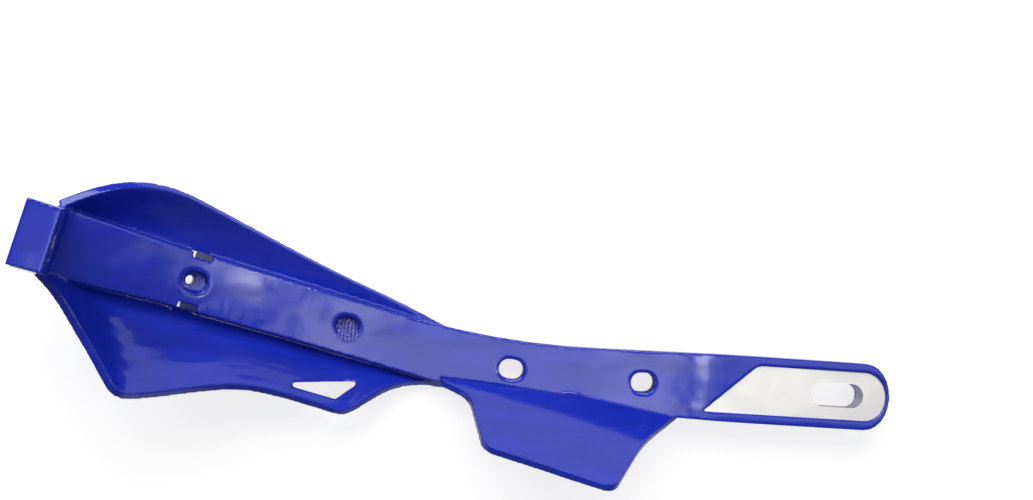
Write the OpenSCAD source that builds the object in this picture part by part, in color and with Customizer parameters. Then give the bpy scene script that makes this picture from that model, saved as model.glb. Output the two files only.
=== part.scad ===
/* [Alloy bar] */
// Width of the flat bar
bar_w = 19.5; // [17:0.5:21]
// Thickness of the flat bar
bar_t = 8; // [6:0.5:9]
// Mounting slot centre to the rounded tip of the bar
tip_reach = 20.5; // [17:0.5:26]
// Length of the bar's rounded tip
tip_round = 9; // [6:0.5:10]

/* [Side bends] */
// Slot centre to the first bend
mount_run = 48; // [40:1:60]
// Angle by which the bar drops behind the mount
drop_angle = 5.3; // [2:0.1:8]
// Length of the bend behind the mount
drop_bend = 14; // [8:1:20]
// Straight stretch between the mount and the belly
belly_run = 73; // [60:1:90]
// Length of the bend into the belly
belly_bend = 22; // [14:1:30]
// Radius of the long sweep out to the corner
sweep_r = 290; // [270:5:330]
// Angle turned by the long sweep
sweep_angle = 29; // [24:0.5:31]
// Radius at mid thickness of the corner into the leg
corner_r = 9; // [8:0.5:14]
// Angle turned by the corner
corner_angle = 72.5; // [60:0.5:75]
// Straight length of the leg
leg_len = 57; // [48:1:75]

/* [Edgewise bend] */
// Slot centre to the start of the edgewise bend
edge_start = 100; // [85:1:110]
// Length of the edgewise bend
edge_len = 73; // [60:1:90]
// Angle of the edgewise bend
edge_angle = 12.94; // [12.02, 12.94, 13.5]

/* [Mounting holes] */
// Width of the mounting slot
slot_w = 9.8; // [8.4:0.2:11]
// Length of the mounting slot
slot_len = 22; // [18:0.5:24]
// Diameter of the bolt hole through the leg
leg_bore_d = 8.6; // [6.4:0.2:10.4]
// Leg bolt hole to the end of the bar
leg_bore_inset = 22; // [18:0.5:26]

/* [Moulded sleeve] */
// Plastic over the bar's two faces
face_wall = 1.35; // [1:0.05:2]
// Width of the sleeve at the mount
sleeve_w_mount = 27; // [25:0.5:30]
// Width of the sleeve along its middle
sleeve_w_mid = 21.8; // [21.5:0.1:25]
// Width of the sleeve at the corner
sleeve_w_corner = 24.5; // [23.5:0.5:27]
// Width of the sleeve at the leg's end
sleeve_w_end = 21.8; // [21.5:0.1:23]
// Plastic round the bar's rounded tip
tip_wall = 1.3; // [1:0.1:2.5]
// Plastic closing the leg's end
cap_wall = 2; // [1.5:0.1:4]

/* [Sleeve openings] */
// Length of the oval holes along the strip
oval_len = 10; // [8.5:0.1:12]
// Width of the oval holes
oval_w = 8; // [6:0.1:9]
// Plastic lining inside the oval holes
oval_lining = 1.2; // [0.8:0.1:1.8]
// Depth of the two blind ovals below the face
blind_depth = 4.5; // [3:0.1:6]
// Diameter of the small hole in the outer oval
pin_hole_d = 3.8; // [2.5:0.1:5]
// Length of the notches in the sleeve's edges
notch_len = 7.5; // [5:0.1:10]
// Reach of the notches beyond the bar
notch_reach = 1.3; // [1.2:0.1:2]
// Length of the bare window on each face of the leg
leg_window_len = 38; // [30:0.5:42]
// Width of the bare window on each face of the leg
leg_window_w = 15; // [13:0.5:17]

/* [Wings] */
// Thickness of the wings
wing_t = 3; // [2.4:0.1:3.4]
// Corner radius of the vent
vent_r = 0.9; // [0.5:0.1:1.2]

/* [Hidden] */
blue = [0.09, 0.11, 0.66];
silver = [0.78, 0.78, 0.77];
$fn = 48;
slack = 1;
sleeve_t = bar_t + 2 * face_wall;
slab = 160;

// Distances from the slot centre, towards the corner, of the four ovals
oval_places = [80, 133, 200, 259];

// Radius of the edgewise bend
edge_r = edge_len / sin(edge_angle);

// Steps of the side path: length of each and the angle it turns
inner_steps = [
    [mount_run + tip_reach + tip_wall, 0],
    [drop_bend, -drop_angle],
    [belly_run, 0],
    [belly_bend, drop_angle],
];
// The flat stretch where the inner and the outer halves of the strip meet
flat_half = 5;
inner_path = walk([[-tip_reach - tip_wall, 0, 0]], inner_steps, 0);
belly = last(inner_path);
split_u = belly[0] + flat_half;
split_x = -split_u;
split_y = fine(centre_y(split_x));

arc_len = sweep_r * sweep_angle * PI / 180;
corner_len = corner_r * corner_angle * PI / 180;
outer_steps = [
    [2 * flat_half, 0],
    [arc_len, sweep_angle],
    [corner_len, corner_angle],
];
corner_path = walk([[-flat_half, belly[1], 0]], outer_steps, 0);
corner_end = last(corner_path);
leg_heading = sweep_angle + corner_angle;

function last(list) = list[len(list) - 1];
function unit(v) = v / norm(v);

// Lengths to a thousandth, so that surfaces meant to be flush are flush
function fine(v) = round(v * 1000) / 1000;

// Walks along the steps: each point is distance, height and heading
function walk(path, steps, i) =
    i == len(steps) ? path : walk(concat(path, step_points(last(path), steps[i])), steps, i + 1);
function step_points(p, s) =
    s[1] == 0
    ? [[fine(p[0] + s[0] * cos(p[2])), fine(p[1] + s[0] * sin(p[2])), p[2]]]
    : let (
        n = ceil(abs(s[1]) / 2.5),
        r = s[0] / (s[1] * PI / 180)
    )
    [for (k = [1 : n])
        let (a = p[2] + s[1] * k / n)
        [fine(p[0] + r * (sin(a) - sin(p[2]))), fine(p[1] + r * (cos(p[2]) - cos(a))), a]];

// The path made a band of one thickness, in distance and height
function band_side(path, off) = [for (p = path)
    [fine(p[0] - off * sin(p[2])), fine(p[1] + off * cos(p[2]))]];
function band(path, t) =
    let (
        upper = band_side(path, t / 2),
        lower = band_side(path, -t / 2)
    )
    concat(upper, [for (k = [len(lower) - 1 : -1 : 0]) lower[k]]);

// Centre line of the strip in plan
function centre_y(x) =
    let (d = -x - edge_start)
    d <= 0 ? 0
    : d < edge_len ? edge_r - sqrt(edge_r * edge_r - d * d)
    : edge_r * (1 - cos(edge_angle)) + (d - edge_len) * tan(edge_angle);
function centre_angle(x) =
    let (d = -x - edge_start)
    d <= 0 ? 0 : d < edge_len ? asin(d / edge_r) : edge_angle;

// Half width of the sleeve in plan
width_table = [
    [-360, sleeve_w_corner],
    [-300, sleeve_w_corner],
    [-268, sleeve_w_mid],
    [-175, sleeve_w_mid],
    [-45, sleeve_w_mount],
    [60, sleeve_w_mount],
];
function sleeve_half(x) = lookup(x, width_table) / 2;

// Mid height of the strip over a point in plan
function outer_u(x, y) = (split_x - x) * cos(edge_angle) + (y - split_y) * sin(edge_angle);
function sweep_z(u) =
    u <= flat_half ? belly[1]
    : let (d = min(u - flat_half, sweep_r * sin(sweep_angle)))
    belly[1] + sweep_r - sqrt(sweep_r * sweep_r - d * d);
function inner_z(x) = lookup(-x, [for (p = inner_path) [p[0], p[1]]]);
function strip_z(x, y) = x > split_x ? inner_z(x) : sweep_z(outer_u(x, y));
function strip_slope(x, y) = strip_z(x - 0.5, y) - strip_z(x + 0.5, y);
function back_z(x, y) =
    let (m = strip_slope(x, y))
    strip_z(x, y) - sleeve_t / 2 * sqrt(1 + m * m);

// Plan outline of the strip, with its half elliptic tip
plan_end = -380;
function plan_stations(from) = concat(
    [for (k = [0 : 12]) from - k * (from + edge_start + edge_len) / 12],
    [-200, -268, -300, plan_end]
);
function plan_side(xs, side, half) = [for (x = xs)
    let (h = half == 0 ? sleeve_half(x) : half, a = centre_angle(x))
    [fine(x + side * h * sin(a)), fine(centre_y(x) + side * h * cos(a))]];
function tip_curve(x, reach, half) = [for (a = [75 : -15 : -75]) [x + reach * cos(a), half * sin(a)]];
function plan_outline(from, reach, half) =
    let (
        xs = plan_stations(from),
        right = plan_side(xs, 1, half),
        left = plan_side(xs, -1, half),
        tip_half = half == 0 ? sleeve_half(from) : half
    )
    concat(
        [for (k = [len(right) - 1 : -1 : 0]) right[k]],
        tip_curve(from, reach, tip_half),
        left
    );

module outer_frame() {
    translate([split_x, split_y, 0])
        rotate(-edge_angle)
            children();
}

// A side profile, in distance to the left and height, given width
module side_slab(points) {
    rotate([90, 0, 180])
        linear_extrude(slab, center = true)
            polygon(points);
}

// The strip and the leg, cut to a plan outline
module strip_solid(t, outline, end_len) {
    inner = concat(inner_path, [[belly[0] + 2 * flat_half, belly[1], 0]]);
    outer = walk(corner_path, [[end_len, 0]], 0);
    intersection() {
        union() {
            intersection() {
                side_slab(band(inner, t));
                translate([split_x, -slab, -slab])
                    cube([slab * 2, slab * 2, slab * 2]);
            }
            intersection() {
                outer_frame()
                    side_slab(band(outer, t));
                translate([split_x - slab * 2, -slab, -slab])
                    cube([slab * 2, slab * 2, slab * 2]);
            }
        }
        translate([0, 0, -slab / 2])
            linear_extrude(slab * 1.5)
                polygon(outline);
    }
}

// Places children at a station of the strip, with +Z out of the face
module at_strip(d) {
    x = -d;
    y = centre_y(x);
    tilt = atan(strip_slope(x, y));
    translate([x, y, strip_z(x, y)])
        rotate([0, 0, -centre_angle(x)])
            rotate([0, tilt, 0])
                children();
}

// Places children on the middle of the leg, at a distance from its root
module at_leg(d) {
    outer_frame()
        translate([-corner_end[0] - d * cos(leg_heading), 0, corner_end[1] + d * sin(leg_heading)])
            rotate([0, leg_heading, 0])
                children();
}

module oval(length, width, height) {
    run = length - width;
    cube([run, width, height], center = true);
    for (side = [-1, 1])
        translate([side * run / 2, 0, 0])
            cylinder(d = width, h = height, center = true);
}

module alloy_bar() {
    color(silver)
        difference() {
            bar_body();
            oval(slot_len, slot_w, bar_t + 2 * slack);
            at_leg(leg_len - leg_bore_inset)
                cylinder(d = leg_bore_d, h = bar_t + 2 * slack, center = true);
        }
}

module bar_body() {
    start = tip_reach - tip_round;
    difference() {
        strip_solid(bar_t, plan_outline(start, tip_round, bar_w / 2), leg_len);
        for (d = oval_places)
            at_strip(d)
                oval(oval_len + 2 * oval_lining, oval_w + 2 * oval_lining, bar_t + 4 * slack);
    }
}

module guard_shell() {
    color(blue)
        union() {
            sleeve();
            difference() {
                union() {
                    wing(upper_rim, 1);
                    wing(lower_rim, -1);
                }
                bar_body();
                edge_notches();
                vent();
            }
            difference() {
                inner_lobe();
                bar_body();
            }
        }
}

// The sleeve round the bar, with its windows and ovals
module sleeve() {
    difference() {
        sleeve_body();
        bar_body();
        mount_window();
        oval(slot_len, slot_w, 4 * bar_t);
        through_ovals();
        blind_ovals();
        edge_notches();
        leg_windows();
    }
}

module sleeve_body() {
    start = tip_reach - tip_round;
    reach = tip_round + tip_wall;
    difference() {
        strip_solid(sleeve_t, plan_outline(start, reach, 0), leg_len + cap_wall);
        leg_taper();
    }
}

// What is pared off the leg's lower side towards its end
module leg_taper() {
    fall = atan((sleeve_w_corner - sleeve_w_end) / leg_len);
    at_leg(0)
        translate([0, -sleeve_w_corner / 2, 0])
            rotate(-fall)
                translate([-slab / 2, -slab / 4, 0])
                    cube([slab, slab / 2, 3 * sleeve_t], center = true);
}

// Bare alloy round the mounting slot, ending in a slanted sweep
window_tip = -56;
window_shoulder = -34;
module mount_window() {
    half = bar_w / 2;
    start = tip_reach - tip_round;
    linear_extrude(bar_t)
        intersection() {
            polygon(rounded([
                [window_tip, -half, 0.4],
                [tip_reach + slack, -half, 0],
                [tip_reach + slack, half, 0],
                [window_shoulder, half, 5],
            ]));
            polygon(plan_outline(start, tip_round, half));
        }
}

module through_ovals() {
    for (k = [0, 1])
        at_strip(oval_places[k])
            oval(oval_len, oval_w, 4 * bar_t);
}

// The third oval has a ribbed floor and the fourth a small hole
module blind_ovals() {
    floor_z = sleeve_t / 2 - blind_depth;
    rib_h = 0.8;
    rib_w = 0.9;
    at_strip(oval_places[2])
        difference() {
            translate([0, 0, floor_z + bar_t])
                oval(oval_len, oval_w, 2 * bar_t);
            for (k = [-2 : 2])
                translate([k * 2 * rib_w, 0, floor_z])
                    cube([rib_w, oval_w * 1.1, 2 * rib_h], center = true);
        }
    at_strip(oval_places[3]) {
        translate([0, 0, floor_z + bar_t])
            oval(oval_len, oval_w, 2 * bar_t);
        translate([-(oval_len - oval_w) / 2, 0, 0])
            cylinder(d = pin_hole_d, h = 4 * bar_t, center = true);
    }
}

module edge_notches() {
    for (side = [-1, 1])
        at_strip(oval_places[3])
            translate([0, side * (bar_w + notch_reach - slack) / 2, 0])
                cube([notch_len, notch_reach + slack, 4 * bar_t], center = true);
}

// One window on each face of the leg, round the bolt hole
module leg_windows() {
    middle = leg_len - leg_bore_inset + 1;
    for (side = [-1, 1])
        at_leg(middle)
            translate([0, 0, side * bar_t])
                leg_window(bar_t + 2 * slack);
}

module leg_window(height) {
    translate([0, 0, -height / 2])
        linear_extrude(height)
            polygon(rounded([
                [-leg_window_len / 2, -leg_window_w / 2, 2],
                [leg_window_len / 2, -leg_window_w / 2, 5],
                [leg_window_len / 2, leg_window_w / 2, 5],
                [-leg_window_len / 2, leg_window_w / 2, 2],
            ]));
}

// Flat lobe below the belly, hinged up from the sleeve's lower edge: each
// corner is the distance from the lobe's mount end, its height and its radius
lobe_foot = [-62, -12.6, -3.4];
lobe_heading = 3.9;
lobe_fall = 4.2;
lobe_tilt = 60;
lobe_outline = [
    [0, -0.6, 0],
    [22, 25, 90],
    [39, 56.5, 5.5],
    [86.5, 40, 7],
    [89.5, 8, 12],
    [100, 1, 0],
    [100, -0.6, 0],
];
module inner_lobe() {
    translate(lobe_foot)
        rotate([0, lobe_fall, -lobe_heading])
            rotate([180 - lobe_tilt, 0, 0])
                mirror([1, 0, 0])
                    translate([0, 0, -wing_t])
                        linear_extrude(wing_t)
                            polygon(rounded(lobe_outline));
}

// Three cornered vent through the lower wing
vent_corners = [[-224, -8.6], [-192.5, -7], [-202, -14]];
module vent() {
    translate([0, 0, -slab / 4])
        linear_extrude(slab / 2)
            polygon(rounded([for (p = vent_corners) [p[0], p[1], vent_r]]));
}

// Corners of a polygon rounded, each corner given with its radius
function rounded(pts) = [for (k = [0 : len(pts) - 1])
    let (
        n = len(pts),
        p = [pts[k][0], pts[k][1]],
        a = pts[(k + n - 1) % n],
        b = pts[(k + 1) % n],
        ua = unit([a[0], a[1]] - p),
        ub = unit([b[0], b[1]] - p),
        half = acos(ua * ub) / 2,
        r = pts[k][2],
        cut = r / tan(half),
        mid = p + unit(ua + ub) * r / sin(half),
        from = p + ua * cut - mid,
        to = p + ub * cut - mid,
        steps = r == 0 ? 0 : 6
    )
    for (s = [0 : steps])
        r == 0 ? p : mid + unit(from + (to - from) * s / steps) * r];

// Stations of each wing: place of the root along X, then the rim's
// X, Y and Z, then how hollow the section between them is
upper_rim = [
    [-304, -304, 53, 36, 1.3],
    [-299, -295, 58, 35.5, 1.4],
    [-284, -281, 63, 29, 1.8],
    [-268, -266, 62.5, 19, 1.8],
    [-250, -250, 55.5, 9, 1.7],
    [-228, -228, 45.5, -1, 1.5],
    [-204, -204, 35, -8, 1.3],
    [-180, -180, 26, -11, 1],
    [-157, -157, 16, -11, 1],
];
lower_rim = [
    [-304, -310, 26, 37, 1.2],
    [-303, -303, 21, 41, 1.5],
    [-300, -294, 9, 44, 1.6],
    [-296, -284, -6, 44, 1.6],
    [-288, -278.5, -15.5, 43, 1.7],
    [-279, -269, -15.5, 34, 1.9],
    [-259, -256, -13.5, 24, 1.9],
    [-239, -238, -11, 15, 1.8],
    [-222, -222, -14, 10, 1.6],
    [-208, -207, -18, 6, 1.6],
    [-198, -198, -20.5, 5, 1.6],
    [-189, -190, -15, 2, 1.5],
    [-180, -181, -9.5, -5, 1.3],
    [-170, -170, -7, -10, 1],
    [-160, -158, -8, -10, 1],
    [-150, -148, -9, -9, 1],
];

// A smooth curve guided by the stations, through the first and the last
along = 4;
across = 7;
function guided(p) = concat(
    [p[0]],
    [for (k = [1 : len(p) - 2])
        let (
            a = k == 1 ? p[0] : (p[k - 1] + p[k]) / 2,
            b = k == len(p) - 2 ? last(p) : (p[k] + p[k + 1]) / 2
        )
        for (s = [1 : along])
            let (t = s / along)
            a * (1 - t) * (1 - t) + p[k] * 2 * t * (1 - t) + b * t * t]
);

// The root lies inside the sleeve, a little above its back
root_inset = 0.8;
root_lift = 0.6;
function root_point(x, side) =
    let (y = centre_y(x) + side * (sleeve_half(x) - root_inset))
    [x, y, back_z(x, y) + root_lift];
function section(s, side) =
    let (
        a = root_point(s[0], side),
        b = [s[1], s[2], s[3]]
    )
    [for (k = [0 : across])
        let (t = k / across)
        [a[0] + (b[0] - a[0]) * t, a[1] + (b[1] - a[1]) * t, a[2] + (b[2] - a[2]) * pow(t, s[4])]];
function grid_normal(g, i, j) =
    let (
        n = len(g) - 1,
        du = g[min(i + 1, n)][j] - g[max(i - 1, 0)][j],
        dv = g[i][min(j + 1, across)] - g[i][max(j - 1, 0)]
    )
    unit(cross(du, dv));

// A sheet between the root and the rim, thickened towards the rider
module wing(rim, side) {
    outer = [for (s = guided(rim)) section(s, side)];
    n = len(outer);
    m = across + 1;
    points = concat(
        [for (i = [0 : n - 1]) for (j = [0 : across]) outer[i][j]],
        [for (i = [0 : n - 1]) for (j = [0 : across]) outer[i][j] + side * wing_t * grid_normal(outer, i, j)]
    );
    face = n * m;
    faces = concat(
        [for (i = [0 : n - 2]) for (j = [0 : across - 1])
            for (f = quad(i * m + j, (i + 1) * m + j, (i + 1) * m + j + 1, i * m + j + 1)) f],
        [for (i = [0 : n - 2]) for (j = [0 : across - 1])
            for (f = quad(face + i * m + j + 1, face + (i + 1) * m + j + 1, face + (i + 1) * m + j, face + i * m + j)) f],
        [for (i = [0 : n - 2])
            for (f = quad(face + i * m, face + (i + 1) * m, (i + 1) * m, i * m)) f],
        [for (i = [0 : n - 2])
            for (f = quad(i * m + across, (i + 1) * m + across, face + (i + 1) * m + across, face + i * m + across)) f],
        [for (j = [0 : across - 1])
            for (f = quad(j, j + 1, face + j + 1, face + j)) f],
        [for (j = [0 : across - 1])
            for (f = quad((n - 1) * m + j + 1, (n - 1) * m + j, face + (n - 1) * m + j, face + (n - 1) * m + j + 1)) f]
    );
    polyhedron(points, side > 0 ? faces : [for (f = faces) [f[2], f[1], f[0]]]);
}
function quad(a, b, c, d) = [[a, b, c], [a, c, d]];

alloy_bar();
guard_shell();
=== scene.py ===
"""Hand guard of a motorcycle: a bent alloy bar in a glossy blue moulding, lying
on a white studio floor with its rider's side up."""

import math

import bmesh
import bpy
from bpy.props import FloatProperty, FloatVectorProperty, IntProperty, PointerProperty
from mathutils import Matrix, Vector, kdtree


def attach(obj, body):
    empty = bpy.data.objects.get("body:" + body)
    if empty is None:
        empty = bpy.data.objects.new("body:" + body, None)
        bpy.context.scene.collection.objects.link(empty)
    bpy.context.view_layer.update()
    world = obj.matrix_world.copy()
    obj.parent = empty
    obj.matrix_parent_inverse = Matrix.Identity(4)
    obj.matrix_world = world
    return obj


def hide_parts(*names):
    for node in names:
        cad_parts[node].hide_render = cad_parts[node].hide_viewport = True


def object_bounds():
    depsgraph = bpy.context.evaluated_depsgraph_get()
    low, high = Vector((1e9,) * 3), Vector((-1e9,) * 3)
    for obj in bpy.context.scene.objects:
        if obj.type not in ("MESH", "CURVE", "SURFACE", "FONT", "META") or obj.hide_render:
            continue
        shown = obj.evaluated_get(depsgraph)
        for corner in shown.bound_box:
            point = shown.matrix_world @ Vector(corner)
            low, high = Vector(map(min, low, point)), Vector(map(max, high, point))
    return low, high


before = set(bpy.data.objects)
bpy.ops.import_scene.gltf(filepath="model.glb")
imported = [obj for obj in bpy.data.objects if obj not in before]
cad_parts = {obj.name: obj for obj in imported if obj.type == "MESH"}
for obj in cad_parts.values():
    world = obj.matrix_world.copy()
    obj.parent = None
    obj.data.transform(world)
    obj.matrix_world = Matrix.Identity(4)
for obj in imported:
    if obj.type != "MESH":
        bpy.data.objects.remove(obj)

bl_info = {
    "name": "Motorcycle hand guard",
    "version": (1, 0, 0),
    "blender": (4, 5, 0),
    "location": "3D View > Sidebar > Hand guard",
    "description": "Dresses the hand guard and sets up its studio",
    "category": "Object",
}

CAD_BOX = [list(corner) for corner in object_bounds()]
FLOOR_Z = CAD_BOX[0][2]


# Sizes and colours that a user would change


class ShellSettings(bpy.types.PropertyGroup):
    grain: FloatProperty(
        name="Mesh size",
        description="Distance between the points of the moulded shell",
        default=0.00046,
        min=0.0004,
        subtype="DISTANCE",
        unit="LENGTH",
    )
    edge_angle: FloatProperty(
        name="Edge angle",
        description="Bend above which a line of the shell counts as an edge",
        default=math.radians(24),
        subtype="ANGLE",
    )
    edge_margin: FloatProperty(
        name="Edge margin",
        description="Distance from an edge within which a point moves onto it",
        default=0.00043,
        subtype="DISTANCE",
        unit="LENGTH",
    )
    fairing: IntProperty(
        name="Fairing",
        description="Passes that fair the broad faces",
        default=60,
        min=0,
    )
    rounding: IntProperty(
        name="Rounding",
        description="Passes that round the edges as a mould does",
        default=5,
        min=1,
    )
    dish_depth: FloatProperty(
        name="Dish depth",
        description="Depth to which the face sinks at the rim of each oval",
        default=0.00025,
        subtype="DISTANCE",
        unit="LENGTH",
    )
    dish_width: FloatProperty(
        name="Dish width",
        description="Width of the sunken ring round each oval",
        default=0.0014,
        subtype="DISTANCE",
        unit="LENGTH",
    )
    faces: IntProperty(
        name="Triangles",
        description="Number of triangles that the finished shell is brought down to",
        default=180000,
        min=20000,
    )


class PlasticSettings(bpy.types.PropertyGroup):
    colour: FloatVectorProperty(
        name="Blue",
        description="Colour of the moulded plastic",
        default=(0.011, 0.028, 0.45),
        size=3,
        min=0,
        max=1,
        subtype="COLOR",
    )
    deep_colour: FloatVectorProperty(
        name="Deep blue",
        description="Colour where the plastic flowed thick",
        default=(0.008, 0.02, 0.36),
        size=3,
        min=0,
        max=1,
        subtype="COLOR",
    )
    roughness: FloatProperty(
        name="Roughness",
        description="Roughness of the clean plastic",
        default=0.13,
        min=0,
        max=1,
        subtype="FACTOR",
    )
    waviness: FloatProperty(
        name="Waviness",
        description="Height of the slow waves that shrinking leaves in the faces",
        default=0.0013,
        subtype="DISTANCE",
        unit="LENGTH",
    )


class AlloySettings(bpy.types.PropertyGroup):
    colour: FloatVectorProperty(
        name="Alloy",
        description="Colour of the bare alloy",
        default=(0.88, 0.87, 0.845),
        size=3,
        min=0,
        max=1,
        subtype="COLOR",
    )
    roughness: FloatProperty(
        name="Roughness",
        description="Roughness of the bare alloy",
        default=0.42,
        min=0,
        max=1,
        subtype="FACTOR",
    )
    brushing: FloatProperty(
        name="Brushing",
        description="Depth of the lines left along the bar",
        default=0.00006,
        subtype="DISTANCE",
        unit="LENGTH",
    )


class StudioSettings(bpy.types.PropertyGroup):
    lens: FloatProperty(
        name="Lens",
        description="Focal length of the camera",
        default=43.56,
        subtype="DISTANCE_CAMERA",
        unit="CAMERA",
    )
    key_power: FloatProperty(
        name="Key light",
        description="Power of the large soft box beyond the upper wing",
        default=17,
        min=0,
        subtype="POWER",
        unit="POWER",
    )
    pane_power: FloatProperty(
        name="Panes",
        description="Power of the panes over the strip, in watts a square metre",
        default=7.5,
        min=0,
    )
    room_light: FloatProperty(
        name="Room light",
        description="Strength of the even light of the room",
        default=0.16,
        min=0,
    )


SETTINGS = {
    "guard_shell_settings": ShellSettings,
    "guard_plastic_settings": PlasticSettings,
    "guard_alloy_settings": AlloySettings,
    "guard_studio_settings": StudioSettings,
}


# Materials


class Socket:
    """A value in a material, on which arithmetic adds the Math nodes"""

    def __init__(self, finish, output):
        self.finish = finish
        self.output = output

    def maths(self, operation, first, second):
        inputs = {0: first, 1: second}
        made = self.finish.add("ShaderNodeMath", {"operation": operation}, inputs)
        return made["Value"]

    def __add__(self, other):
        return self.maths("ADD", self, other)

    def __radd__(self, other):
        return self.maths("ADD", other, self)

    def __sub__(self, other):
        return self.maths("SUBTRACT", self, other)

    def __rsub__(self, other):
        return self.maths("SUBTRACT", other, self)

    def __mul__(self, other):
        return self.maths("MULTIPLY", self, other)

    def __truediv__(self, other):
        return self.maths("DIVIDE", self, other)

    def sine(self):
        return self.maths("SINE", self, 0.0)

    def clamped(self):
        """The value kept between 0 and 1"""
        settings = {"operation": "MULTIPLY", "use_clamp": True}
        return self.finish.add("ShaderNodeMath", settings, {0: self, 1: 1.0})["Value"]


class Outputs:
    """The outputs of one node, each taken by its name"""

    def __init__(self, finish, node):
        self.finish = finish
        self.node = node

    def __getitem__(self, name):
        return Socket(self.finish, self.node.outputs[name])


class Finish:
    """A material and the nodes that make it"""

    def __init__(self, name):
        self.material = bpy.data.materials.new(name)
        self.material.use_nodes = True
        self.tree = self.material.node_tree
        self.tree.nodes.clear()

    def add(self, kind, settings=None, inputs=None):
        node = self.tree.nodes.new(kind)
        for name, value in (settings or {}).items():
            if name == "stops":
                set_stops(node.color_ramp, value)
            else:
                setattr(node, name, value)
        for key, value in (inputs or {}).items():
            if isinstance(value, Socket):
                self.tree.links.new(value.output, node.inputs[key])
            else:
                node.inputs[key].default_value = value
        return Outputs(self, node)

    def place(self):
        """A point of the piece, in its own metres"""
        return self.add("ShaderNodeTexCoord")["Object"]

    def stretched(self, scale, turn=(0.0, 0.0, 0.0)):
        """Coordinates that stretch a pattern by one over the scale"""
        inputs = {"Vector": self.place(), "Rotation": turn, "Scale": scale}
        return self.add("ShaderNodeMapping", {"vector_type": "POINT"}, inputs)["Vector"]

    def noise(self, vector, scale, detail, roughness):
        inputs = {
            "Vector": vector,
            "Scale": scale,
            "Detail": detail,
            "Roughness": roughness,
        }
        return self.add("ShaderNodeTexNoise", {}, inputs)["Fac"]

    def ramp(self, value, stops):
        grey = [(at, (level, level, level, 1.0)) for at, level in stops]
        return self.add("ShaderNodeValToRGB", {"stops": grey}, {"Fac": value})["Color"]

    def spot(self, centre, radius):
        """1 inside a small round spot, 0 outside it, with a soft rim"""
        settings = {"operation": "DISTANCE"}
        inputs = {0: self.place(), 1: centre}
        away = self.add("ShaderNodeVectorMath", settings, inputs)["Value"]
        return ((radius - away) / (radius * 0.35)).clamped()

    def blend(self, factor, first, second):
        settings = {"data_type": "RGBA", "blend_type": "MIX"}
        inputs = {"Factor": factor, 6: first, 7: second}
        node = self.add("ShaderNodeMix", settings, inputs).node
        return Socket(self, node.outputs[2])

    def bump(self, height, distance, strength, normal=None):
        inputs = {"Height": height, "Distance": distance, "Strength": strength}
        if normal is not None:
            inputs["Normal"] = normal
        return self.add("ShaderNodeBump", {}, inputs)["Normal"]

    def surface(self, shader):
        output = self.add("ShaderNodeOutputMaterial").node
        self.tree.links.new(shader.output, output.inputs["Surface"])
        return self.material


def set_stops(ramp, stops):
    while len(ramp.elements) < len(stops):
        ramp.elements.new(1.0)
    for element, (position, colour) in zip(ramp.elements, stops):
        element.position = position
        element.color = colour


def opaque(colour, shade=1.0):
    return (colour[0] * shade, colour[1] * shade, colour[2] * shade, 1.0)


# The floor of the blind oval nearest the belly, and the fine ribs across it, whose valleys
# carry painted shade and whose crests a painted highlight
RIBBED_FLOOR = (-0.1991, 0.0131, -0.0025)
RIBBED_RADIUS = 0.0055
RIB_PITCH = 0.0014
RIB_HEIGHT = 0.0003
RIB_VALLEY_SHADE = (0.036, 0.04, 0.3)
RIB_CREST_LIGHT = (0.16, 0.165, 0.56)

# The small round marks in the plastic: middle and radius
MARKS = (((-0.2606, 0.0502, 0.0045), 0.0013), ((-0.2941, 0.0419, 0.0325), 0.0007))
MARK_HEIGHT = 0.0003

# Share of the ripples in the slow waves, and height of the face's fine grain
RIPPLE_SHARE = 0.28
GRAIN_HEIGHT = 0.00001


def moulded_plastic(sizes, name="blue_plastic", shade=1.0):
    """Glossy blue plastic with slow waves, flow marks and faint scuffs"""
    finish = Finish(name)
    waves = finish.noise(finish.stretched((16, 34, 34)), 1.0, 1.5, 0.4)
    flow = finish.noise(finish.stretched((22, 150, 90), (0, 0, 0.2)), 1.0, 3.0, 0.55)
    scuffs = finish.noise(finish.stretched((120, 900, 300)), 1.0, 3.0, 0.6)
    skin = finish.noise(finish.place(), 1600.0, 2.0, 0.5)
    deep = finish.ramp(flow, [(0.38, 0.0), (0.68, 1.0)])
    # A shade under 1 darkens the whole blue: a copy of the plastic with painted shade
    blue = opaque(sizes.colour, shade)
    colour = finish.blend(deep, blue, opaque(sizes.deep_colour, shade))
    floor = finish.spot(RIBBED_FLOOR, RIBBED_RADIUS)
    across = finish.add("ShaderNodeSeparateXYZ", {}, {"Vector": finish.place()})["X"]
    ribs = (across * (2 * math.pi / RIB_PITCH)).sine() * 0.5 + 0.5
    # Painted light and shade on the ribs: dark in each valley, pale on each crest, in step
    # with their bump
    grey = finish.blend(ribs, opaque(RIB_VALLEY_SHADE), opaque(RIB_CREST_LIGHT))
    colour = finish.blend(floor, colour, grey)
    large, small = (finish.spot(middle, radius) for middle, radius in MARKS)
    ripples = finish.noise(finish.stretched((70, 95, 95)), 1.0, 1.0, 0.4)
    broad = finish.bump(waves + ripples * RIPPLE_SHARE, sizes.waviness, 0.6)
    ribbed = finish.bump(ribs * floor, RIB_HEIGHT, 0.8, broad)
    dots = finish.bump(large + small, MARK_HEIGHT, 0.8, ribbed)
    fine = finish.bump(skin * 0.6 + scuffs * 0.4, GRAIN_HEIGHT, 0.6, dots)
    rough = sizes.roughness + (scuffs - 0.5) * 0.12 + (flow - 0.5) * 0.1
    inputs = {
        "Base Color": colour,
        "Roughness": rough.clamped(),
        "Normal": fine,
        "IOR": 1.5,
    }
    return finish.surface(finish.add("ShaderNodeBsdfPrincipled", {}, inputs)["BSDF"])


DULL_ALLOY = (0.82, 0.812, 0.79)


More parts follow.
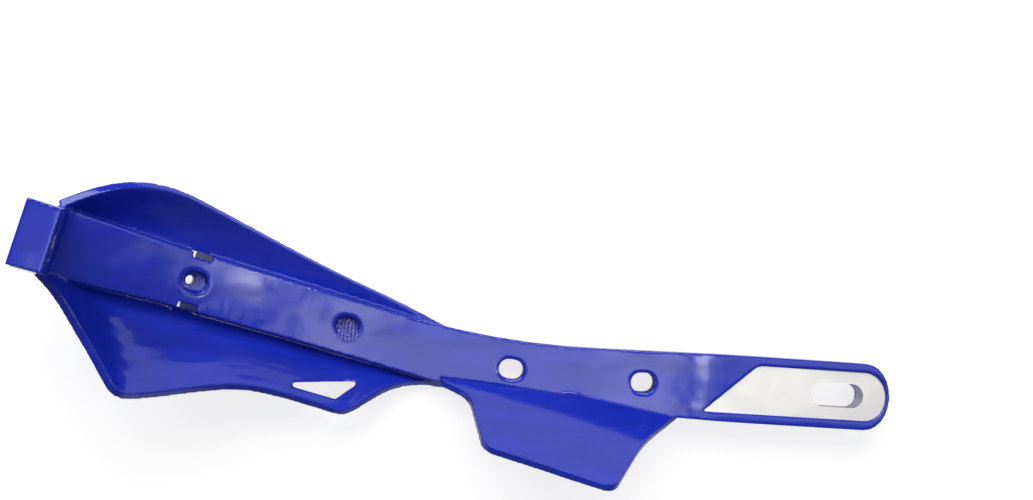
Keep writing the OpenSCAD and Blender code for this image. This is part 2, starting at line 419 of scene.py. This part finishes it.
def bare_alloy(sizes):
    """Satin alloy with lines brushed along the bar and a few dull patches"""
    finish = Finish("bare_alloy")
    lines = finish.noise(finish.stretched((18, 1500, 900)), 1.0, 4.0, 0.6)
    patches = finish.noise(finish.stretched((60, 90, 90)), 1.0, 3.0, 0.6)
    pits = finish.noise(finish.place(), 2400.0, 2.0, 0.6)
    dull = finish.ramp(patches, [(0.4, 0.0), (0.75, 1.0)])
    colour = finish.blend(dull, opaque(sizes.colour), opaque(DULL_ALLOY))
    rough = sizes.roughness + (lines - 0.5) * 0.2 + (patches - 0.5) * 0.16
    normal = finish.bump(lines * 0.7 + pits * 0.3, sizes.brushing, 0.35)
    inputs = {
        "Base Color": colour,
        "Metallic": 1.0,
        "Roughness": rough.clamped(),
        "Normal": normal,
    }
    return finish.surface(finish.add("ShaderNodeBsdfPrincipled", {}, inputs)["BSDF"])


FLOOR_WHITE = (0.86, 0.86, 0.865)
PAPER_STRENGTH = 1.27
PAPER_SHARE = 0.6


def white_floor():
    """White floor that the camera sees as paper white where no shadow falls"""
    finish = Finish("studio_floor")
    inputs = {"Base Color": opaque(FLOOR_WHITE), "Roughness": 0.9}
    plain = finish.add("ShaderNodeBsdfPrincipled", {}, inputs)["BSDF"]
    paper = {"Color": (1, 1, 1, 1), "Strength": PAPER_STRENGTH}
    glow = finish.add("ShaderNodeEmission", {}, paper)["Emission"]
    seen = finish.add("ShaderNodeLightPath")["Is Camera Ray"]
    parts = {0: seen * PAPER_SHARE, 1: plain, 2: glow}
    return finish.surface(finish.add("ShaderNodeMixShader", {}, parts)["Shader"])


# Pieces


def add_object(name, mesh, material=None):
    piece = bpy.data.objects.new(name, mesh)
    bpy.context.scene.collection.objects.link(piece)
    if material is not None:
        mesh.materials.append(material)
    return piece


WELD = 1e-6


def merged_copy(node):
    """The CAD node's mesh with its loose triangles joined"""
    bm = bmesh.new()
    bm.from_mesh(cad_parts[node].data)
    bmesh.ops.remove_doubles(bm, verts=bm.verts, dist=WELD)
    return bm


# Area in square metres below which a triangle's slope isn't trusted
SLIVER = 2e-9


def edge_points(bm, angle, step):
    """Points along every edge that bends by more than the angle"""
    points = []
    for edge in bm.edges:
        if len(edge.link_faces) == 2 and edge.calc_face_angle(0) < angle:
            continue
        if min(face.calc_area() for face in edge.link_faces) < SLIVER:
            continue
        start = edge.verts[0].co
        end = edge.verts[1].co
        count = max(1, int(edge.calc_length() / step))
        points += [start.lerp(end, k / count) for k in range(count + 1)]
    return points


def near_points(points):
    tree = kdtree.KDTree(len(points))
    for index, point in enumerate(points):
        tree.insert(point, index)
    tree.balance()
    return tree


def remeshed(bm, grain):
    """The same solid in small even faces"""
    mesh = bpy.data.meshes.new("shell_start")
    bm.to_mesh(mesh)
    start = add_object("shell_start", mesh)
    even = start.modifiers.new("even", "REMESH")
    even.mode = "VOXEL"
    even.voxel_size = grain
    even.adaptivity = 0.0
    graph = bpy.context.evaluated_depsgraph_get()
    result = bpy.data.meshes.new_from_object(start.evaluated_get(graph))
    bpy.data.objects.remove(start)
    bpy.data.meshes.remove(mesh)
    return result


# The strip's bends in side view: whether the bend is in the outer half, its centre
# along and up, its radius at mid thickness, its first and last angle in degrees,
# and the number of flats that stand for it in the frame
DROP_BEND = (False, 0.048, -0.15135, 0.15135, 0.0, 5.3, 3)
BELLY_BEND = (False, 0.156637, 0.229425, 0.237832, -5.3, 0.0, 3)
SWEEP = (True, 0.005, 0.281593, 0.29, 0.0, 29.0, 12)
OUTER_START = Vector((-0.161637, 0.00588, 0.0))
OUTER_ANGLE = math.radians(12.94)
OUTER_ALONG = Vector((-math.cos(OUTER_ANGLE), math.sin(OUTER_ANGLE), 0.0))
STRIP_HALF = 0.0056


def bent_fair(bm):
    """Moves the points of the strip's flat-sided bends onto true arcs"""
    for outer, along, up, radius, first, final, flats in (DROP_BEND, BELLY_BEND, SWEEP):
        step = math.radians(final - first) / flats
        side = 1 if up > 0 else -1
        for vert in bm.verts:
            place = vert.co
            if outer != (place.x < OUTER_START.x):
                continue
            axis = OUTER_ALONG if outer else Vector((-1.0, 0.0, 0.0))
            start = OUTER_START if outer else Vector((0.0, 0.0, 0.0))
            run = (place - start).dot(axis) - along
            rise = side * (up - place.z)
            reach = math.hypot(run, rise)
            angle = math.atan2(run, rise)
            turn = angle - math.radians(first)
            if abs(reach - radius) > STRIP_HALF or not 0 <= turn < step * flats:
                continue
            off = turn % step - step / 2
            gain = reach * (math.cos(off) / math.cos(step / 2) - 1)
            lift = Vector((0.0, 0.0, side * gain * math.cos(angle)))
            vert.co = place + axis * (gain * math.sin(angle)) - lift


# The ovals from the mount outwards: middle, direction along the strip and
# direction out of its face
OVALS = (
    ((-0.08, 0.0, -0.00232), (0.9957, 0.0, 0.0924), (-0.0924, 0.0, 0.9957)),
    ((-0.133, 0.00167, -0.00724), (0.9906, -0.1008, 0.0924), (-0.0919, 0.0094, 0.9957)),
    ((-0.2, 0.01448, -0.00637), (0.9681, -0.2224, -0.1154), (0.1124, -0.0258, 0.9933)),
    ((-0.259, 0.02804, 0.00754), (0.9235, -0.2122, -0.3196), (0.3115, -0.0716, 0.9475)),
)
OVAL_HALF = 0.004  # half the width
OVAL_RUN = 0.001  # half the straight length of each side
OVAL_REACH = 0.012  # how far from its middle an oval's ring can lie
FACE_UP = 0.0045  # height over a middle above which a point is on the face


def dished(bm, depth, width):
    """Sinks the face a little round each oval, most at its rim"""
    for middle, along, out in OVALS:
        middle, along, out = Vector(middle), Vector(along), Vector(out)
        across = out.cross(along)
        for vert in bm.verts:
            place = vert.co - middle
            if place.length > OVAL_REACH or place.dot(out) < FACE_UP:
                continue
            run = max(abs(place.dot(along)) - OVAL_RUN, 0.0)
            beside = max(math.hypot(run, place.dot(across)) - OVAL_HALF, 0.0)
            if beside < width:
                vert.co -= out * depth * (1 - beside / width) ** 2


def thinned(mesh, faces):
    """An object with the mesh brought down to about so many triangles"""
    mesh.calc_loop_triangles()
    start = add_object("shell_fine", mesh)
    fewer = start.modifiers.new("fewer", "DECIMATE")
    fewer.ratio = min(1.0, faces / len(mesh.loop_triangles))
    fewer.use_collapse_triangulate = True
    graph = bpy.context.evaluated_depsgraph_get()
    result = bpy.data.meshes.new_from_object(start.evaluated_get(graph))
    bpy.data.objects.remove(start)
    bpy.data.meshes.remove(mesh)
    result.name = "moulded_shell"
    return add_object("moulded_shell", result)


def drawn_to_edges(bm, edges, margin):
    """Moves the points beside an edge onto it, and returns all the others"""
    others = []
    for vert in bm.verts:
        point, _, distance = edges.find(vert.co)
        if distance > margin:
            others.append(vert)
        else:
            vert.co = point
    return others


# Fairing goes forward and a little more back, which keeps the faces in place
FAIR_FORWARD = 0.5
FAIR_BACK = -0.52
ROUND_BY = 0.5


def smooth(bm, verts, factor):
    """Moves each point that share of the way to the middle of its neighbours"""
    axes = {"use_axis_x": True, "use_axis_y": True, "use_axis_z": True}
    bmesh.ops.smooth_vert(bm, verts=verts, factor=factor, **axes)


def shade_smooth(bm):
    for face in bm.faces:
        face.smooth = True


class GUARD_OT_shell(bpy.types.Operator):
    """Moulded shell: the CAD shell with fair faces and rounded edges"""

    bl_idname = "hand_guard.shell"
    bl_label = "Moulded shell"

    def execute(self, context):
        sizes = context.scene.guard_shell_settings
        cad = merged_copy("guard_shell")
        edges = near_points(edge_points(cad, sizes.edge_angle, sizes.grain / 4))
        mesh = remeshed(cad, sizes.grain)
        cad.free()
        bm = bmesh.new()
        bm.from_mesh(mesh)
        broad = drawn_to_edges(bm, edges, sizes.edge_margin)
        bent_fair(bm)
        dished(bm, sizes.dish_depth, sizes.dish_width)
        for _ in range(sizes.fairing):
            smooth(bm, broad, FAIR_FORWARD)
            smooth(bm, broad, FAIR_BACK)
        for _ in range(sizes.rounding):
            smooth(bm, bm.verts[:], ROUND_BY)
        shade_smooth(bm)
        bm.to_mesh(mesh)
        bm.free()
        shell = thinned(mesh, sizes.faces)
        plastic = moulded_plastic(context.scene.guard_plastic_settings)
        shell.data.materials.append(plastic)
        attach(shell, "root")
        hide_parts("guard_shell")
        return {"FINISHED"}


# The notches lie on both sides of the outermost oval, and a dark sheet of painted shade
# sits in each
NOTCH_AT = OVALS[3]
NOTCH_BESIDE = 0.0099  # from the oval's middle to a notch's middle
NOTCH_LONG = 0.0076
NOTCH_WIDE = 0.0023
NOTCH_GAP = 0.0011  # length left open at one end, where light comes through
NOTCH_UP = 0.0043  # height of the painted shade sheets over the oval's middle
SHADE_SHEET_THICK = 0.0006
SHADE_SHEET_ROUND = 0.00015
PAINTED_SHADE_SHARE = 0.3  # share of the blue left on the sheets: painted shade for the notches' shadow


class GUARD_OT_notch_shade_sheets(bpy.types.Operator):
    """Notch shade sheets: thin dark sheets in the two edge notches, painted shade for the
    shadow in them
    """

    bl_idname = "hand_guard.notch_floors"
    bl_label = "Notch floors"

    def execute(self, context):
        middle, along, out = (Vector(part) for part in NOTCH_AT)
        across = out.cross(along)
        turn = Matrix((along, across, out)).transposed().to_4x4()
        size = Matrix.Diagonal((NOTCH_LONG - NOTCH_GAP, NOTCH_WIDE, SHADE_SHEET_THICK, 1))
        bm = bmesh.new()
        for side in (-1, 1):
            centre = middle + across * side * NOTCH_BESIDE
            centre += along * NOTCH_GAP / 2 + out * NOTCH_UP
            place = Matrix.Translation(centre) @ turn
            made = bmesh.ops.create_cube(bm, size=1, matrix=place @ size)
            edges = {edge for vert in made["verts"] for edge in vert.link_edges}
            bmesh.ops.bevel(
                bm,
                geom=list(edges),
                offset=SHADE_SHEET_ROUND,
                segments=2,
                profile=0.5,
                affect="EDGES",
                material=-1,
            )
        mesh = bpy.data.meshes.new("notch_floors")
        bm.to_mesh(mesh)
        bm.free()
        plastic = context.scene.guard_plastic_settings
        # The sheets take the blue darkened to a share of itself: painted shade
        shaded = moulded_plastic(plastic, "shaded_plastic", PAINTED_SHADE_SHARE)
        shade_sheets = add_object("notch_floors", mesh, shaded)
        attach(shade_sheets, "root")
        return {"FINISHED"}


class GUARD_OT_bar(bpy.types.Operator):
    """Alloy bar: gives the CAD bar its satin, brushed finish"""

    bl_idname = "hand_guard.bar"
    bl_label = "Alloy bar"

    def execute(self, context):
        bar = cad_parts["alloy_bar"]
        alloy = bare_alloy(context.scene.guard_alloy_settings)
        if not bar.material_slots:
            raise RuntimeError("the alloy bar has no material slot to fill")
        for slot in bar.material_slots:
            slot.material = alloy
        return {"FINISHED"}


# Studio

CAMERA_AT = (-0.19413, 0.02627, 0.49534)
CAMERA_RIGHT = (0.9901, 0.0698, 0.1216)
CAMERA_AHEAD = (0.1185, 0.0463, -0.9919)

FLOOR_REACH = 4
FLOOR_MIDDLE = (-0.15, 0.0)
FLOOR_DROP = 0.0002  # how far the floor lies under the guard's lowest point

GUARD_MIDDLE = (-0.16, 0.01, 0.0)
KEY_AT = (-0.45, 0.8, 1.0)
KEY_SIZE = (1.2, 0.8)

# The panes hang level over the strip, so each shows where the strip mirrors it:
# name, middle in X and Y, length, width and strength
PANE_HEIGHT = 0.6
PANES = (
    ("corner_pane", 0.036, 0.015, 0.047, 0.1, 4.6),
    ("drop_pane", 0.036, -0.062, 0.047, 0.05, 0.8),
    ("bend_pane", 0.095, -0.02, 0.066, 0.1, 0.6),
    ("sweep_pane", -0.058, -0.05, 0.073, 0.13, 1.7),
    ("belly_pane", -0.15, -0.03, 0.1, 0.17, 1.15),
    ("leg_pane", -0.26, -0.03, 0.1, 0.17, 0.2),
    ("mount_pane", 0.28, 0.13, 0.3, 0.36, 0.61),
)


def turned(right, ahead):
    """The turn of a camera or lamp that looks ahead"""
    back = -Vector(ahead).normalized()
    side = (Vector(right) - back * Vector(right).dot(back)).normalized()
    above = back.cross(side)
    return Matrix((side, above, back)).transposed().to_4x4()


def soft_box(name, at, target, size, power):
    """A rectangular lamp that the camera doesn't see"""
    light = bpy.data.lights.new(name, "AREA")
    light.shape = "RECTANGLE"
    light.size = size[0]
    light.size_y = size[1]
    light.energy = power
    lamp = bpy.data.objects.new(name, light)
    ahead = Vector(target) - Vector(at)
    lamp.matrix_world = Matrix.Translation(at) @ turned((1, 0, 0), ahead)
    lamp.visible_camera = False
    bpy.context.scene.collection.objects.link(lamp)


class GUARD_OT_studio(bpy.types.Operator):
    """Studio: the floor, the lamps, the room light and the camera"""

    bl_idname = "hand_guard.studio"
    bl_label = "Studio"

    def execute(self, context):
        scene = context.scene
        sizes = scene.guard_studio_settings
        bm = bmesh.new()
        bmesh.ops.create_grid(bm, x_segments=1, y_segments=1, size=FLOOR_REACH)
        at = (*FLOOR_MIDDLE, FLOOR_Z - FLOOR_DROP)
        bmesh.ops.translate(bm, verts=bm.verts, vec=at)
        mesh = bpy.data.meshes.new("studio_floor")
        bm.to_mesh(mesh)
        bm.free()
        add_object("studio_floor", mesh, white_floor())

        soft_box("key_box", KEY_AT, GUARD_MIDDLE, KEY_SIZE, sizes.key_power)
        for name, x, y, length, width, strength in PANES:
            power = sizes.pane_power * strength * length * width
            soft_box(name, (x, y, PANE_HEIGHT), (x, y, 0.0), (length, width), power)

        world = bpy.data.worlds.new("room")
        world.use_nodes = True
        nodes = world.node_tree.nodes
        nodes.clear()
        links = world.node_tree.links
        path = nodes.new("ShaderNodeLightPath")
        room = nodes.new("ShaderNodeBackground")
        room.inputs["Strength"].default_value = sizes.room_light
        paper = nodes.new("ShaderNodeBackground")
        paper.inputs["Strength"].default_value = 1.0
        mix = nodes.new("ShaderNodeMixShader")
        output = nodes.new("ShaderNodeOutputWorld")
        for background in (room, paper):
            background.inputs["Color"].default_value = (1, 1, 1, 1)
        links.new(path.outputs["Is Camera Ray"], mix.inputs[0])
        links.new(room.outputs[0], mix.inputs[1])
        links.new(paper.outputs[0], mix.inputs[2])
        links.new(mix.outputs[0], output.inputs["Surface"])
        scene.world = world

        camera = bpy.data.cameras.new("camera")
        camera.sensor_fit = "HORIZONTAL"
        camera.sensor_width = 36
        camera.lens = sizes.lens
        camera.clip_start = 0.01
        holder = bpy.data.objects.new("camera", camera)
        aim = turned(CAMERA_RIGHT, CAMERA_AHEAD)
        holder.matrix_world = Matrix.Translation(CAMERA_AT) @ aim
        scene.collection.objects.link(holder)
        scene.camera = holder
        scene.view_settings.view_transform = "Standard"
        return {"FINISHED"}


class GUARD_PT_panel(bpy.types.Panel):
    """Lists the guard's pieces and their sizes"""

    bl_label = "Hand guard"
    bl_idname = "GUARD_PT_panel"
    bl_space_type = "VIEW_3D"
    bl_region_type = "UI"
    bl_category = "Hand guard"

    def draw(self, context):
        for name, settings in SETTINGS.items():
            box = self.layout.box()
            for field in settings.__annotations__:
                box.prop(getattr(context.scene, name), field)
        for operator in OPERATORS:
            self.layout.operator(operator.bl_idname)


OPERATORS = (GUARD_OT_bar, GUARD_OT_shell, GUARD_OT_notch_shade_sheets, GUARD_OT_studio)


def register():
    for settings in SETTINGS.values():
        bpy.utils.register_class(settings)
    for name, settings in SETTINGS.items():
        setattr(bpy.types.Scene, name, PointerProperty(type=settings))
    for operator in OPERATORS:
        bpy.utils.register_class(operator)
    bpy.utils.register_class(GUARD_PT_panel)


def unregister():
    bpy.utils.unregister_class(GUARD_PT_panel)
    for operator in reversed(OPERATORS):
        bpy.utils.unregister_class(operator)
    for name in SETTINGS:
        delattr(bpy.types.Scene, name)
    for settings in SETTINGS.values():
        bpy.utils.unregister_class(settings)


def main():
    register()
    bpy.ops.hand_guard.bar()
    bpy.ops.hand_guard.shell()
    bpy.ops.hand_guard.notch_floors()
    bpy.ops.hand_guard.studio()


if __name__ == "__main__":
    main()
